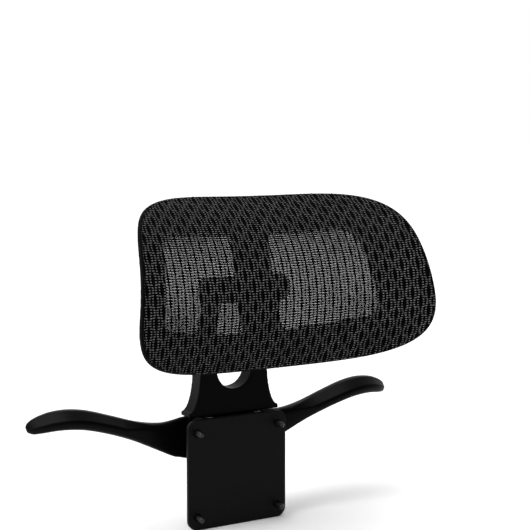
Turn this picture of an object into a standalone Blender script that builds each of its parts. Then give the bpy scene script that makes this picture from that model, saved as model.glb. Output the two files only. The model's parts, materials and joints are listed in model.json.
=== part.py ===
"""Chair headrest attachment: a mesh headrest pad that tilts on a forked arm, the bracket in
which the arm slides up and down behind the chair's back, and the coat hanger on the bracket.

Units are metres. +X is the sitter's left as seen from the front (the viewer's right), +Y points
backwards, away from the sitter, and +Z is up. The origin is the centre of the bracket's front
face, which is bolted to the back of the chair.
"""

import math

import bmesh
import bpy
from mathutils import Matrix, Vector

# ---------------------------------------------------------------- driving dimensions
GAP = 0.0003                    # clearance left between pieces that touch

# Pad, measured in the pad's own leaning frame from the middle of its height
PIVOT = Vector((0.0, -0.013, 0.182))
PAD_LEAN = math.radians(15)     # the pad's top leans back by this much at rest
PAD_MIDDLE_Z = -0.0028          # height of the pad's middle above the pivot
SPINE_FRONT_Y = -0.0223         # front of the frame's dish at its middle, from the pivot
PAD_TOP, PAD_BOTTOM = 0.0868, 0.0777
HALF_WIDTH_TOP, HALF_WIDTH_BOTTOM = 0.1394, 0.1611
WIDTH_STEP_HEIGHT = 0.080       # the two half widths are those at this far above and below
CORNER_TOP, CORNER_BOTTOM = 4.36, 4.70
RIM_RADIUS = 0.387              # plan curve of the rim, which wraps round the head
RIM_BOW = 0.0273                # how far the rim falls back at the width step's height
RIM_SET = 0.0452                # how far the rim's middle stands in front of the spine
MESH_BULGE = 0.0104             # how far the taut mesh stands in front of the rim's curve
FABRIC = 0.0010                 # thickness of the mesh
SKIRT = 0.0045                  # depth of the mesh's turned edge
HOOP_WIDTH, HOOP_DEPTH = 0.0095, 0.0035
HOOP_FRONT = 1.5 * FABRIC + GAP                 # depths behind the rim's curve
FRAME_FRONT = HOOP_FRONT + HOOP_DEPTH + GAP
FRAME_INSET = 0.0030            # the frame's edge stands in from the mesh's
SHELL = 0.0033                  # wall of the frame
SPINE_HALF_WIDTH, SPINE_DEPTH = 0.0165, 0.0058
SPINE_Z = (-0.052, 0.056)       # from the pivot
SPINE_PROUD = 0.0015            # how far the spine stands in front of the dish
WINDOW = [(0.0205, 0.0516), (0.104, 0.0500), (0.116, -0.0369), (0.0215, -0.0419)]
WINDOW_RADII = [0.005, 0.022, 0.010, 0.005]
HINGE_SCREWS = [(x, z) for x in (-0.010, 0.010) for z in (-0.026, 0.026)]
HOOP_SCREW_ANGLES = (38, 90, 142, 218, 270, 322)
HOOP_SCREW_INSET = 0.0072       # from the pad's outline
HOOP_SCREW_SINK = 0.0008
HOOP_PILOT, HOOP_SCREW_BITE = 0.0030, 0.0026
SHEET_HALF_WIDTH, SHEET_HALF_HEIGHT = 0.168, 0.096    # sheets before they are trimmed

# Arm, in world coordinates
BOSS_RADIUS = 0.0135
KNUCKLE_RADIUS = 0.0130
LEG_TOP_HALF_DEPTH = 0.0122
BOSS_OUTER_X = 0.0373
SLOT_HALF_WIDTH = 0.0190
SLOT_FLOOR_Z = 0.0805
SLOT_TOP_HALF_WIDTH, SLOT_TOP_Z = 0.0295, 0.150    # the legs thin towards the bosses
LEG_BACK_Y = 0.0165             # middle of the arm's thickness below the legs' bend
LEG_HALF_DEPTH = 0.0095
SHOULDER_HALF_WIDTH = 0.050
SHOULDER_Z = 0.0558
STEM_HALF_WIDTH = 0.028
STEM_Y = (0.010, 0.022)
STEM_BOTTOM_Z = -0.050
PIN_RADIUS = 0.005
RACK_HALF_WIDTH, RACK_PITCH, RACK_TEETH = 0.009, 0.010, 6
RACK_Z = (-0.046, 0.026)
RACK_Y = (0.019, 0.022)
RACK_SCREW_Z = (-0.040, 0.020)
FIRST_NOTCH_Z = -0.0350
STOP_Z = -0.0440

# Bracket and hanger, in world coordinates
PLATE_HALF_WIDTH, PLATE_THICKNESS = 0.055, 0.005
BRACKET_Z = (-0.055, 0.055)
RIB_X = (0.031, 0.037)
CHANNEL_BACK_Y = 0.027
COVER_Y = (0.0273, 0.0310)
BOLT_X, BOLT_Z = 0.045, 0.042
COVER_SCREW_Z = (-0.042, -0.008)
HANGER_SCREW_Z = (0.020, 0.042)
RIB_SCREW_X = 0.034
SPRING_SCREW_Z = -0.0270
# Stations of the hanger's right half: x, y, z, half depth, half height
HANGER_STATIONS = [
    (0.000, 0.0354, 0.0290, 0.0040, 0.0220),
    (0.030, 0.0354, 0.0300, 0.0040, 0.0220),
    (0.048, 0.0356, 0.0310, 0.0046, 0.0200),
    (0.070, 0.0358, 0.0350, 0.0068, 0.0135),
    (0.095, 0.0350, 0.0430, 0.0095, 0.0095),
    (0.120, 0.0335, 0.0520, 0.0115, 0.0087),
    (0.145, 0.0325, 0.0598, 0.0125, 0.0090),
    (0.163, 0.0332, 0.0627, 0.0122, 0.0092),
    (0.178, 0.0352, 0.0624, 0.0112, 0.0088),
    (0.190, 0.0380, 0.0600, 0.0095, 0.0078),
    (0.199, 0.0405, 0.0572, 0.0065, 0.0060),
    (0.203, 0.0420, 0.0552, 0.0026, 0.0028),
]

# ---------------------------------------------------------------- scene set-up
for old in list(bpy.data.objects):
    bpy.data.objects.remove(old, do_unlink=True)


def new_collection(name):
    made = bpy.data.collections.new(name)
    bpy.context.scene.collection.children.link(made)
    return made


PARTS = new_collection("chair_headrest")
CUTTERS = new_collection("cutters")


def material(name, colour, roughness, metallic=0.0):
    made = bpy.data.materials.new(name)
    made.use_nodes = True
    shader = made.node_tree.nodes["Principled BSDF"]
    shader.inputs["Base Color"].default_value = (*colour, 1.0)
    shader.inputs["Roughness"].default_value = roughness
    shader.inputs["Metallic"].default_value = metallic
    return made


BLACK_NYLON = (0.012, 0.012, 0.013)
DARK_NYLON = (0.020, 0.020, 0.021)
MESH_GREY = (0.030, 0.030, 0.031)
STEEL = (0.45, 0.45, 0.46)
ACETAL = (0.55, 0.54, 0.50)


def finish(obj, colour, roughness, metallic):
    """Gives the piece its own material and files it with the parts."""
    obj.data.materials.clear()
    obj.data.materials.append(material(obj.name + "_finish", colour, roughness, metallic))
    if obj.name not in PARTS.objects:
        PARTS.objects.link(obj)
    obj.data.shade_smooth()
    obj.data.set_sharp_from_angle(angle=math.radians(35))
    return obj


def hide_as_cutter(obj):
    obj.hide_render = True
    obj.display_type = "WIRE"
    CUTTERS.objects.link(obj)
    return obj


def object_from_bmesh(name, bm):
    mesh = bpy.data.meshes.new(name)
    bm.to_mesh(mesh)
    bm.free()
    return bpy.data.objects.new(name, mesh)


def boolean(obj, operation, other):
    step = obj.modifiers.new(operation.lower(), "BOOLEAN")
    step.operation = operation
    step.solver = "EXACT"
    step.object = other
    return obj


# ---------------------------------------------------------------- basic shapes
def box(name, low, high):
    bm = bmesh.new()
    bmesh.ops.create_cube(bm, size=1.0)
    size = Vector(high) - Vector(low)
    middle = (Vector(high) + Vector(low)) / 2
    bmesh.ops.scale(bm, vec=size, verts=bm.verts)
    bmesh.ops.translate(bm, vec=middle, verts=bm.verts)
    return object_from_bmesh(name, bm)


AXIS_TURN = {
    "Z": Matrix.Identity(4),
    "X": Matrix.Rotation(math.radians(90), 4, "Y"),
    "Y": Matrix.Rotation(math.radians(-90), 4, "X"),
}


def cylinder(name, radius, centre, length, axis, segments=24):
    bm = bmesh.new()
    bmesh.ops.create_cone(
        bm, cap_ends=True, segments=segments, radius1=radius, radius2=radius, depth=length
    )
    bmesh.ops.transform(bm, matrix=Matrix.Translation(centre) @ AXIS_TURN[axis], verts=bm.verts)
    return object_from_bmesh(name, bm)


def rod(name, radius, start, end, segments=12):
    """A cylinder between two points."""
    along = end - start
    turn = Vector((0, 0, 1)).rotation_difference(along).to_matrix().to_4x4()
    bm = bmesh.new()
    bmesh.ops.create_cone(
        bm, cap_ends=True, segments=segments, radius1=radius, radius2=radius, depth=along.length
    )
    place = Matrix.Translation((start + end) / 2) @ turn
    bmesh.ops.transform(bm, matrix=place, verts=bm.verts)
    return object_from_bmesh(name, bm)


def turned(name, profile, centre, axis, segments=20):
    """A solid of revolution. profile holds (radius, height) down the outer side, top first."""
    bm = bmesh.new()
    points = [bm.verts.new((radius, 0.0, height)) for radius, height in profile]
    for first, second in zip(points[:-1], points[1:]):
        bm.edges.new((first, second))
    if profile[0][0] > 0:
        bm.edges.new((points[-1], points[0]))
    obj = object_from_bmesh(name, bm)
    obj.matrix_world = Matrix.Translation(centre) @ AXIS_TURN[axis]
    screw = obj.modifiers.new("turn", "SCREW")
    screw.angle = math.radians(360)
    screw.steps = segments
    screw.render_steps = segments
    screw.use_merge_vertices = True
    screw.merge_threshold = 0.00001
    return obj


def extruded(name, outline, low, high, axis):
    """A flat outline given in the plane across the axis, extruded from low to high along it."""
    curve = bpy.data.curves.new(name, "CURVE")
    curve.dimensions = "2D"
    curve.fill_mode = "BOTH"
    curve.extrude = (high - low) / 2
    spline = curve.splines.new("POLY")
    spline.points.add(len(outline) - 1)
    for point, (u, v) in zip(spline.points, outline):
        point.co = (u, v, 0.0, 1.0)
    spline.use_cyclic_u = True
    flat = bpy.data.objects.new(name + "_outline", curve)
    bpy.context.scene.collection.objects.link(flat)
    bpy.context.view_layer.update()
    mesh = bpy.data.meshes.new_from_object(flat.evaluated_get(bpy.context.evaluated_depsgraph_get()))
    bpy.data.objects.remove(flat, do_unlink=True)
    bm = bmesh.new()
    bm.from_mesh(mesh)
    bmesh.ops.remove_doubles(bm, verts=bm.verts, dist=0.00001)
    middle = (low + high) / 2
    place = {
        "Z": Matrix(((1, 0, 0, 0), (0, 1, 0, 0), (0, 0, 1, middle), (0, 0, 0, 1))),
        "Y": Matrix(((1, 0, 0, 0), (0, 0, 1, middle), (0, 1, 0, 0), (0, 0, 0, 1))),
        "X": Matrix(((0, 0, 1, middle), (1, 0, 0, 0), (0, 1, 0, 0), (0, 0, 0, 1))),
    }[axis]
    bmesh.ops.transform(bm, matrix=place, verts=bm.verts)
    bmesh.ops.recalc_face_normals(bm, faces=bm.faces)
    return object_from_bmesh(name, bm)


def rounded_outline(corners, radii, steps=5):
    """A polygon with each corner replaced by an arc of its own radius."""
    outline = []
    for index, corner in enumerate(corners):
        here = Vector(corner)
        before = (Vector(corners[index - 1]) - here).normalized()
        after = (Vector(corners[(index + 1) % len(corners)]) - here).normalized()
        half = before.angle(after) / 2
        radius = radii[index]
        centre = here + (before + after).normalized() * radius / math.sin(half)
        start = here + before * radius / math.tan(half) - centre
        end = here + after * radius / math.tan(half) - centre
        first = math.atan2(start.y, start.x)
        sweep = (math.atan2(end.y, end.x) - first + math.pi) % (2 * math.pi) - math.pi
        for step in range(steps + 1):
            angle = first + sweep * step / steps
            outline.append((centre.x + radius * math.cos(angle), centre.y + radius * math.sin(angle)))
    return outline


def screw_with_head(name, head, shank, length, head_height, centre, axis_up):
    """A pan-head screw with its head's underside at the centre; axis_up points out of the head."""
    profile = [
        (0.0, head_height), (head * 0.75, head_height), (head, head_height * 0.55),
        (head, 0.0), (shank, 0.0), (shank, -length), (0.0, -length),
    ]
    obj = turned(name, profile, (0, 0, 0), "Z", segments=10)
    turn = Vector((0, 0, 1)).rotation_difference(Vector(axis_up)).to_matrix().to_4x4()
    obj.matrix_world = Matrix.Translation(centre) @ turn
    return obj


# ---------------------------------------------------------------- the pad's curves
def half_width(z):
    middle = (HALF_WIDTH_TOP + HALF_WIDTH_BOTTOM) / 2
    return middle - (HALF_WIDTH_BOTTOM - HALF_WIDTH_TOP) / 2 * z / WIDTH_STEP_HEIGHT


def reach(x, z):
    """0 at the pad's middle, 1 on its outline, which is a superellipse that widens downwards."""
    power, height = (CORNER_TOP, PAD_TOP) if z > 0 else (CORNER_BOTTOM, PAD_BOTTOM)
    return ((abs(x) / half_width(z)) ** power + (abs(z) / height) ** power) ** (1 / power)


def rim_y(x, z):
    """Front of the rim's curve: forwards towards the pad's ends, back at its top and foot."""
    wrap = RIM_RADIUS - math.sqrt(RIM_RADIUS ** 2 - x ** 2)
    return SPINE_FRONT_Y - RIM_SET - wrap + RIM_BOW * (z / WIDTH_STEP_HEIGHT) ** 2


def rim_backwards(x, z):
    """Square to the rim's curve and pointing backwards, one unit long in y."""
    along_x = x / math.sqrt(RIM_RADIUS ** 2 - x ** 2)
    along_z = -2 * RIM_BOW * z / WIDTH_STEP_HEIGHT ** 2
    return Vector((along_x, 1.0, along_z))


def behind_rim(x, z, depth):
    """The y of a surface that lies a given depth behind the rim's curve, square to it."""
    return rim_y(x, z) + depth * rim_backwards(x, z).length


def mesh_y(x, z):
    return rim_y(x, z) - MESH_BULGE * (1 - reach(x, z) ** 2)


def frame_y(x, z):
    """Front of the frame: behind the hoop at the rim, and dished back to the spine."""
    dish = (RIM_SET - FRAME_FRONT) * (1 - min(reach(x, z), 1.0) ** 2)
    return behind_rim(x, z, FRAME_FRONT) + dish


def pad_outline(inset=0.0, count=48):
    """Points of the pad's outline, evenly spread by direction, moved in by the inset."""
    points = []
    for index in range(count):
        angle = 2 * math.pi * index / count
        near, far = 0.0, 0.4
        for _ in range(40):
            middle = (near + far) / 2
            inside = reach(middle * math.cos(angle), middle * math.sin(angle)) < 1
            near, far = (middle, far) if inside else (near, middle)
        points.append(Vector((near * math.cos(angle), near * math.sin(angle))))
    moved = []
    for index, point in enumerate(points):
        along = (points[(index + 1) % count] - points[index - 1]).normalized()
        inwards = Vector((-along.y, along.x))
        moved.append(tuple(point + inwards * inset))
    return moved


def curved_sheet(name, depth, thickness, columns=25, rows=15):
    """A sheet whose front follows depth(x, z), thickened backwards, larger than the pad."""
    bm = bmesh.new()
    bmesh.ops.create_grid(bm, x_segments=columns, y_segments=rows, size=1.0)
    for vert in bm.verts:
        x, z = vert.co.x * SHEET_HALF_WIDTH, vert.co.y * SHEET_HALF_HEIGHT
        vert.co = (x, depth(x, z), z)
    obj = object_from_bmesh(name, bm)
    wall = obj.modifiers.new("wall", "SOLIDIFY")
    wall.thickness = thickness
    wall.offset = -1.0
    return obj


def pad_prism(name, inset, hole_inset=None):
    """The pad's outline, extruded front to back, with an optional hole of a larger inset."""
    outer = extruded(name, pad_outline(inset), -0.20, 0.06, "Y")
    if hole_inset is not None:
        hole = hide_as_cutter(extruded(name + "_hole", pad_outline(hole_inset), -0.21, 0.07, "Y"))
        boolean(outer, "DIFFERENCE", hole)
    return hide_as_cutter(outer)


def freeze(obj):
    """Turns an object's modifiers and its place into a plain mesh in world space."""
    if not obj.users_collection:
        bpy.context.scene.collection.objects.link(obj)
    bpy.context.view_layer.update()
    mesh = bpy.data.meshes.new_from_object(obj.evaluated_get(bpy.context.evaluated_depsgraph_get()))
    mesh.transform(obj.matrix_world)
    obj.modifiers.clear()
    obj.data = mesh
    obj.matrix_world = Matrix.Identity(4)
    return obj


def set_origin(obj, origin):
    """Puts the object's origin at a joint's axis without moving its mesh."""
    obj.data.transform(Matrix.Translation(-origin))
    obj.matrix_world = Matrix.Translation(origin)
    return obj


def pad_piece(obj, colour, roughness, metallic=0.0):
    """Freezes a piece modelled upright about the pad's middle, then leans it about the pivot."""
    freeze(obj)
    for collection in list(obj.users_collection):
        collection.objects.unlink(obj)
    obj.data.transform(Matrix.Translation((0, 0, PAD_MIDDLE_Z)))
    obj.matrix_world = Matrix.Translation(PIVOT) @ Matrix.Rotation(-PAD_LEAN, 4, "X")
    return finish(obj, colour, roughness, metallic)


def world_piece(obj, colour, roughness, metallic=0.0, origin=(0, 0, 0)):
    freeze(obj)
    for collection in list(obj.users_collection):
        collection.objects.unlink(obj)
    set_origin(obj, Vector(origin))
    return finish(obj, colour, roughness, metallic)


def cut(obj, cutter):
    return boolean(obj, "DIFFERENCE", hide_as_cutter(cutter))


def join(obj, other):
    return boolean(obj, "UNION", hide_as_cutter(other))


# ---------------------------------------------------------------- pad pieces
def hoop_screw_places():
    """Six points on the rim's curve over the hoop, and the way back from each."""
    line = pad_outline(HOOP_SCREW_INSET, 360)
    places = []
    for angle in HOOP_SCREW_ANGLES:
        x, z = line[angle]
        places.append((Vector((x, rim_y(x, z), z)), rim_backwards(x, z).normalized()))
    return places


def hoop_screw_seat(point):
    """How far behind the rim's curve the screw head sits, sunk into the frame's back."""
    front = (frame_y(point.x, point.z) - point.y) / rim_backwards(point.x, point.z).length
    return front + SHELL - HOOP_SCREW_SINK


def make_mesh_cover():
    cover = curved_sheet("mesh_cover", mesh_y, FABRIC)
    boolean(cover, "INTERSECT", pad_prism("cover_outline", 0.0))
    skirt = curved_sheet("cover_skirt", lambda x, z: behind_rim(x, z, FABRIC * 0.3), SKIRT)
    boolean(skirt, "INTERSECT", pad_prism("skirt_ring", 0.0, FABRIC))
    join(cover, skirt)
    pad_piece(cover, MESH_GREY, 0.8)


def make_mesh_hoop():
    hoop = curved_sheet("mesh_hoop", lambda x, z: behind_rim(x, z, HOOP_FRONT), HOOP_DEPTH)
    inset = FABRIC + GAP
    boolean(hoop, "INTERSECT", pad_prism("hoop_ring", inset, inset + HOOP_WIDTH))
    back = HOOP_FRONT + HOOP_DEPTH
    for index, (point, backwards) in enumerate(hoop_screw_places(), 1):
        start, end = point + backwards * (back - HOOP_PILOT), point + backwards * (back + HOOP_PILOT)
        cut(hoop, rod(f"hoop_pilot_{index}", 0.0016, start, end))
    pad_piece(hoop, BLACK_NYLON, 0.55)


def make_pad_frame():
    frame = curved_sheet("pad_frame", frame_y, SHELL)
    boolean(frame, "INTERSECT", pad_prism("frame_outline", FRAME_INSET))
    spine_back = SPINE_FRONT_Y + SPINE_DEPTH
    for side, name in ((-1, "left"), (1, "right")):
        outline = rounded_outline([(side * x, z) for x, z in WINDOW], WINDOW_RADII)
        cut(frame, extruded(f"window_{name}", outline, -0.2, 0.05, "Y"))
    low, high = (z - PAD_MIDDLE_Z for z in SPINE_Z)
    spine = box("spine", (-SPINE_HALF_WIDTH, SPINE_FRONT_Y - SPINE_PROUD, low),
                (SPINE_HALF_WIDTH, spine_back, high))
    join(frame, spine)
    for index, (point, backwards) in enumerate(hoop_screw_places(), 1):
        seat = point + backwards * hoop_screw_seat(point)
        cut(frame, rod(f"hoop_hole_{index}", 0.0019, point, seat + backwards * 0.004))
        cut(frame, rod(f"hoop_sink_{index}", 0.0032, seat, seat + backwards * 0.006, 16))
    for index, (x, z) in enumerate(HINGE_SCREWS, 1):
        place = (x, spine_back, z - PAD_MIDDLE_Z)
        cut(frame, cylinder(f"hinge_pilot_{index}", 0.0016, place, 0.009, "Y", 12))
    pad_piece(frame, BLACK_NYLON, 0.5)


def make_hinge_block():
    """The plate screwed to the spine, with the knuckle that turns on the pivot pin."""
    front = SPINE_FRONT_Y + SPINE_DEPTH + GAP
    plate_half, half = 0.0150, 0.0176
    low, high = -0.034 - PAD_MIDDLE_Z, 0.034 - PAD_MIDDLE_Z
    block = box("hinge_block", (-plate_half, front, low), (plate_half, front + 0.0035, high))
    centre = (0, 0, -PAD_MIDDLE_Z)
    neck_low, neck_high = -0.009 - PAD_MIDDLE_Z, 0.009 - PAD_MIDDLE_Z
    join(block, box("neck", (-half, front + 0.001, neck_low), (half, -0.0085, neck_high)))
    join(block, cylinder("knuckle", KNUCKLE_RADIUS, centre, 2 * half, "X", 24))
    cut(block, cylinder("knuckle_bore", 0.0078, centre, 0.05, "X", 24))
    for index, (x, z) in enumerate(HINGE_SCREWS, 1):
        place = (x, front, z - PAD_MIDDLE_Z)
        cut(block, cylinder(f"hinge_hole_{index}", 0.0019, place, 0.02, "Y", 12))
    pad_piece(block, DARK_NYLON, 0.45)
    for index, (x, z) in enumerate(HINGE_SCREWS, 1):
        place = (x, front + 0.0035 + GAP, z - PAD_MIDDLE_Z)
        screw = screw_with_head(
            f"hinge_screw_{index}", 0.0030, 0.00125, 0.0070, 0.0020, place, (0, 1, 0)
        )
        pad_piece(screw, STEEL, 0.35, 1.0)
    for side, name in ((-1, "left"), (1, "right")):
        profile = [(0.0074, 0.0080), (0.0074, -0.0070), (0.0054, -0.0070), (0.0054, 0.0080)]
        place = (side * 0.0090, 0, -PAD_MIDDLE_Z)
        bush = turned(f"knuckle_bush_{name}", profile, place, "X", 16)
        pad_piece(bush, ACETAL, 0.4)


def make_hoop_screws():
    for index, (point, backwards) in enumerate(hoop_screw_places(), 1):
        seat = hoop_screw_seat(point) + GAP
        length = seat - (HOOP_FRONT + HOOP_DEPTH) + HOOP_SCREW_BITE
        screw = screw_with_head(
            f"hoop_screw_{index}", 0.0027, 0.00125, length, 0.0018, point + backwards * seat, backwards
        )
        pad_piece(screw, STEEL, 0.35, 1.0)


# ---------------------------------------------------------------- arm pieces
def bezier(start, handle_1, handle_2, end, amount):
    rest = 1 - amount
    return (start * rest ** 3 + handle_1 * 3 * rest ** 2 * amount
            + handle_2 * 3 * rest * amount ** 2 + end * amount ** 3)


def leg_side_outline(steps=12):
    """Side view of the arm, (y, z): a leg that bends forward from the stem to the boss."""
    start = Vector((PIVOT.y, PIVOT.z))
    end = Vector((LEG_BACK_Y, 0.096))
    handle_1 = start + Vector((0.010, -0.036))
    handle_2 = end + Vector((0.0, 0.036))
    front, back = [], []
    for step in range(steps + 1):
        amount = step / steps
        here = bezier(start, handle_1, handle_2, end, amount)
        ahead = bezier(start, handle_1, handle_2, end, amount + 0.01)
        along = (ahead - here).normalized()
        half_depth = LEG_TOP_HALF_DEPTH + (LEG_HALF_DEPTH - LEG_TOP_HALF_DEPTH) * amount
        across = Vector((-along.y, along.x)) * half_depth
        back.append(tuple(here + across))
        front.append(tuple(here - across))
    low = SHOULDER_Z
    foot = [(LEG_BACK_Y + LEG_HALF_DEPTH, low), (LEG_BACK_Y - LEG_HALF_DEPTH, low)]
    return back + foot + front[::-1]


def arm_front_outline():
    """Front view of the arm, (x, z): straight legs that flare out into the shoulders."""
    flare = []
    for step in range(9):
        turn = math.radians(90) * step / 8
        flare.append((
            SHOULDER_HALF_WIDTH - (SHOULDER_HALF_WIDTH - BOSS_OUTER_X) * math.cos(turn),
            0.104 - (0.104 - SHOULDER_Z - 0.004) * math.sin(turn),
        ))
    right = [(BOSS_OUTER_X, 0.21)] + flare + [(SHOULDER_HALF_WIDTH, SHOULDER_Z - 0.001)]
    left = [(-x, z) for x, z in reversed(right)]
    return right + left


def slot_outline():
    """The gap between the legs, open at the top and round at the bottom."""
    centre_z = SLOT_FLOOR_Z + SLOT_HALF_WIDTH
    arc = [
        (SLOT_HALF_WIDTH * math.cos(math.pi + math.pi * step / 16),
         centre_z + SLOT_HALF_WIDTH * math.sin(math.pi + math.pi * step / 16))
        for step in range(17)
    ]
    right = [(SLOT_TOP_HALF_WIDTH, SLOT_TOP_Z), (SLOT_TOP_HALF_WIDTH, 0.22)]
    return arc + right + [(-x, z) for x, z in reversed(right)]


def make_yoke():
    yoke = extruded("yoke", leg_side_outline(), -0.052, 0.052, "X")
    outline = hide_as_cutter(extruded("arm_outline", arm_front_outline(), -0.06, 0.06, "Y"))
    boolean(yoke, "INTERSECT", outline)
    cut(yoke, extruded("slot", slot_outline(), -0.07, 0.07, "Y"))
    boss_middle = (SLOT_HALF_WIDTH + BOSS_OUTER_X) / 2
    for side, name in ((-1, "left"), (1, "right")):
        centre = PIVOT + Vector((side * boss_middle, 0, 0))
        join(yoke, cylinder(f"boss_{name}", BOSS_RADIUS, centre, BOSS_OUTER_X - SLOT_HALF_WIDTH, "X", 24))
    stem = box("stem", (-STEM_HALF_WIDTH, STEM_Y[0], STEM_BOTTOM_Z),
               (STEM_HALF_WIDTH, STEM_Y[1], SHOULDER_Z + 0.004))
    join(yoke, stem)
    cut(yoke, cylinder("pin_bore", PIN_RADIUS + GAP, PIVOT, 0.12, "X", 20))
    pocket = box("rack_pocket", (-RACK_HALF_WIDTH - GAP, RACK_Y[0] - GAP, RACK_Z[0] - GAP),
                 (RACK_HALF_WIDTH + GAP, 0.03, RACK_Z[1] + GAP))
    cut(yoke, pocket)
    for index, z in enumerate(RACK_SCREW_Z, 1):
        cut(yoke, cylinder(f"rack_pilot_{index}", 0.0016, (0, 0.018, z), 0.010, "Y", 12))
    cut(yoke, cylinder("stop_pilot", 0.0016, (0, 0.012, STOP_Z), 0.010, "Y", 12))
    world_piece(yoke, BLACK_NYLON, 0.45)


def make_rack():
    """The notched strip in the stem's back that the detent spring clicks into."""
    rack = box("detent_rack", (-RACK_HALF_WIDTH, RACK_Y[0], RACK_Z[0]),
               (RACK_HALF_WIDTH, RACK_Y[1], RACK_Z[1]))
    for tooth in range(RACK_TEETH):
        z = FIRST_NOTCH_Z + tooth * RACK_PITCH
        cut(rack, cylinder(f"notch_{tooth}", 0.0020, (0, RACK_Y[1] + 0.0008, z), 0.03, "X", 12))
    for index, z in enumerate(RACK_SCREW_Z, 1):
        cut(rack, cylinder(f"rack_hole_{index}", 0.0017, (0, 0.02, z), 0.02, "Y", 12))
        cut(rack, cylinder(f"rack_sink_{index}", 0.0030, (0, 0.0220, z), 0.0032, "Y", 14))
    world_piece(rack, ACETAL, 0.4)
    for index, z in enumerate(RACK_SCREW_Z, 1):
        profile = [(0.0, 0.0013), (0.0026, 0.0013), (0.0026, 0.0), (0.00125, 0.0),
                   (0.00125, -0.0050), (0.0, -0.0050)]
        screw = turned(f"rack_screw_{index}", profile, (0, 0.0207, z), "Y", 14)
        world_piece(screw, STEEL, 0.35, 1.0)


def make_pivot():
    """The pin through both bosses and the knuckle, with its nut, washers and end caps."""
    head_x = -BOSS_OUTER_X - GAP
    pin = turned("pivot_pin", [
        (0.0, 0.0804), (0.0037, 0.0804), (0.0040, 0.0800), (0.0040, 0.0742), (PIN_RADIUS, 0.0742),
        (PIN_RADIUS, 0.0), (0.0080, 0.0), (0.0080, -0.0030), (0.0070, -0.0040), (0.0, -0.0040),
    ], PIVOT + Vector((head_x, 0, 0)), "X", 16)
    world_piece(pin, STEEL, 0.3, 1.0, PIVOT)
    ring_x = BOSS_OUTER_X + GAP
    spring = turned("spring_washer", [
        (0.0080, 0.0010), (0.0085, 0.0002), (0.0045, 0.0), (0.0043, 0.0008),
    ], PIVOT + Vector((ring_x, 0, 0)), "X", 14)
    world_piece(spring, STEEL, 0.3, 1.0, PIVOT)
    nut_middle = PIVOT + Vector((ring_x + 0.0035, 0, 0))
    nut = cylinder("pin_nut", 0.0075, nut_middle, 0.0042, "X", 6)
    cut(nut, cylinder("nut_bore", 0.0043, nut_middle, 0.02, "X", 20))
    world_piece(nut, STEEL, 0.35, 1.0, PIVOT)
    for side, name in ((-1, "left"), (1, "right")):
        washer = turned(f"friction_washer_{name}", [
            (0.0122, 0.00035), (0.0122, -0.00035), (0.0054, -0.00035), (0.0054, 0.00035),
        ], PIVOT + Vector((side * 0.0183, 0, 0)), "X", 16)
        world_piece(washer, ACETAL, 0.4, 0.0, PIVOT)
        cap = turned(f"end_cap_{name}", [
            (0.0, 0.0085), (0.0095, 0.0083), (0.0122, 0.0070), (0.0135, 0.0042), (0.0135, 0.0),
            (0.0120, 0.0), (0.0118, 0.0052), (0.0, 0.0068),
        ], (0, 0, 0), "Z", 24)
        turn = Matrix.Rotation(math.radians(90 * side), 4, "Y")
        cap.matrix_world = Matrix.Translation(PIVOT + Vector((side * ring_x, 0, 0))) @ turn
        world_piece(cap, BLACK_NYLON, 0.4, 0.0, PIVOT)


def make_stop():
    """The block on the stem's foot that meets the bracket's stop rib at full height."""
    block = box("stop_block", (-0.010, 0.0060, STOP_Z - 0.004), (0.010, STEM_Y[0] - GAP, STOP_Z + 0.004))
    cut(block, cylinder("stop_hole", 0.0017, (0, 0.008, STOP_Z), 0.02, "Y", 12))
    cut(block, cylinder("stop_sink", 0.0031, (0, 0.0060, STOP_Z), 0.0036, "Y", 14))
    world_piece(block, DARK_NYLON, 0.5)
    profile = [(0.0, 0.0014), (0.0027, 0.0014), (0.0027, 0.0), (0.00125, 0.0),
               (0.00125, -0.0060), (0.0, -0.0060)]
    screw = turned("stop_screw", profile, (0, 0, 0), "Z", 14)
    screw.matrix_world = Matrix.Translation((0, 0.0075, STOP_Z)) @ Matrix.Rotation(
        math.radians(90), 4, "X")
    world_piece(screw, STEEL, 0.35, 1.0)


# ---------------------------------------------------------------- bracket pieces
def make_bracket():
    low, high = BRACKET_Z
    corners = [(-PLATE_HALF_WIDTH, low), (PLATE_HALF_WIDTH, low),
               (PLATE_HALF_WIDTH, high), (-PLATE_HALF_WIDTH, high)]
    bracket = extruded(
        "mount_bracket", rounded_outline(corners, [0.010] * 4), 0.0, PLATE_THICKNESS, "Y"
    )
    for side, name in ((-1, "left"), (1, "right")):
        inner, outer = sorted((side * RIB_X[0], side * RIB_X[1]))
        join(bracket, box(f"rib_{name}", (inner, 0.002, low + 0.003), (outer, CHANNEL_BACK_Y, high)))
    join(bracket, box("stop_rib", (-0.012, 0.002, 0.0125), (0.012, 0.0090, 0.0165)))
    for index, (x, z) in enumerate(bolt_places(), 1):
        cut(bracket, cylinder(f"bolt_hole_{index}", 0.0033, (x, 0, z), 0.03, "Y", 20))
    for index, (x, z) in enumerate(rib_screw_places(), 1):
        cut(bracket, cylinder(f"rib_pilot_{index}", 0.0016, (x, CHANNEL_BACK_Y, z), 0.024, "Y", 12))
    world_piece(bracket, DARK_NYLON, 0.5)


def bolt_places():
    return [(x, z) for x in (-BOLT_X, BOLT_X) for z in (-BOLT_Z, BOLT_Z)]


def rib_screw_places():
    heights = COVER_SCREW_Z + HANGER_SCREW_Z
    return [(side * RIB_SCREW_X, z) for z in heights for side in (-1, 1)]


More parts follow.
